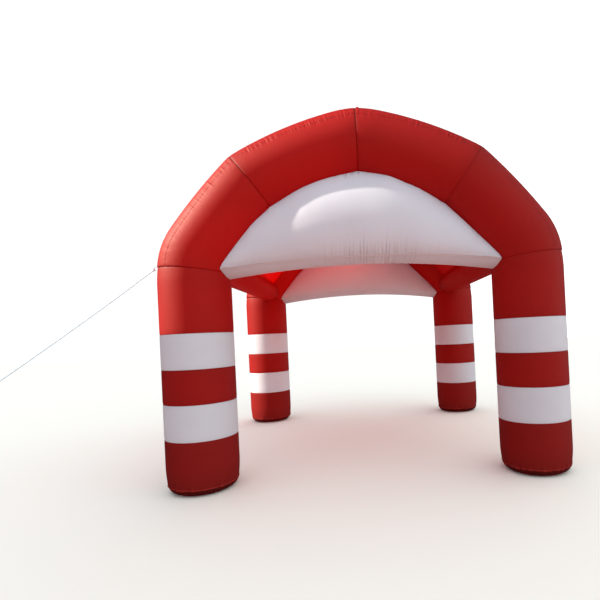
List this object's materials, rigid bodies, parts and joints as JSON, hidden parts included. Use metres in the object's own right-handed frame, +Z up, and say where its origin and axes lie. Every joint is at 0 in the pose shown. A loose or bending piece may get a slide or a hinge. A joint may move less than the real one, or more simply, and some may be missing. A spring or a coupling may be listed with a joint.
{
  "type": "inflatable arch tent",
  "caption": "Inflatable arch tent of coated cloth: red tubular arches on legs with white bands, joined by side beams, with white pillow headers, a red roof sheet and a corner guy rope.",
  "frame": {"origin": "on the ground, at the middle of the plan, below the middle of the roof", "axes": "+Z up, +X to the right as seen from the front, +Y from the front header to the back header"},
  "size_m": [5.1787, 5.1358, 3.9063],
  "materials": {
    "red_cloth": "satin coated cloth, slightly translucent",
    "white_cloth": "satin coated cloth, slightly translucent",
    "red_webbing": "woven, matt",
    "rope": "twisted cord, matt"
  },
  "bodies": {
    "root": {"arch_front_left_haunch": "red_cloth", "arch_front_left_crown": "red_cloth", "arch_front_right_haunch": "red_cloth", "arch_front_right_crown": "red_cloth", "arch_back_left_haunch": "red_cloth", "arch_back_left_crown": "red_cloth", "arch_back_right_haunch": "red_cloth", "arch_back_right_crown": "red_cloth", "leg_front_left_foot": "red_cloth", "leg_front_left_band_low": "white_cloth", "leg_front_left_middle": "red_cloth", "leg_front_left_band_high": "white_cloth", "leg_front_left_top": "red_cloth", "leg_front_right_foot": "red_cloth", "leg_front_right_band_low": "white_cloth", "leg_front_right_middle": "red_cloth", "leg_front_right_band_high": "white_cloth", "leg_front_right_top": "red_cloth", "leg_back_right_foot": "red_cloth", "leg_back_right_band_low": "white_cloth", "leg_back_right_middle": "red_cloth", "leg_back_right_band_high": "white_cloth", "leg_back_right_top": "red_cloth", "leg_back_left_foot": "red_cloth", "leg_back_left_band_low": "white_cloth", "leg_back_left_middle": "red_cloth", "leg_back_left_band_high": "white_cloth", "leg_back_left_top": "red_cloth", "beam_left": "red_cloth", "beam_right": "red_cloth", "header_front": "white_cloth", "header_back": "white_cloth", "roof": "red_cloth", "guy_tab": "red_webbing", "guy_hitch": "rope", "guy_rope": "rope", "guy_knot": "rope", "guy_eye": "rope"}
  },
  "joints": []
}
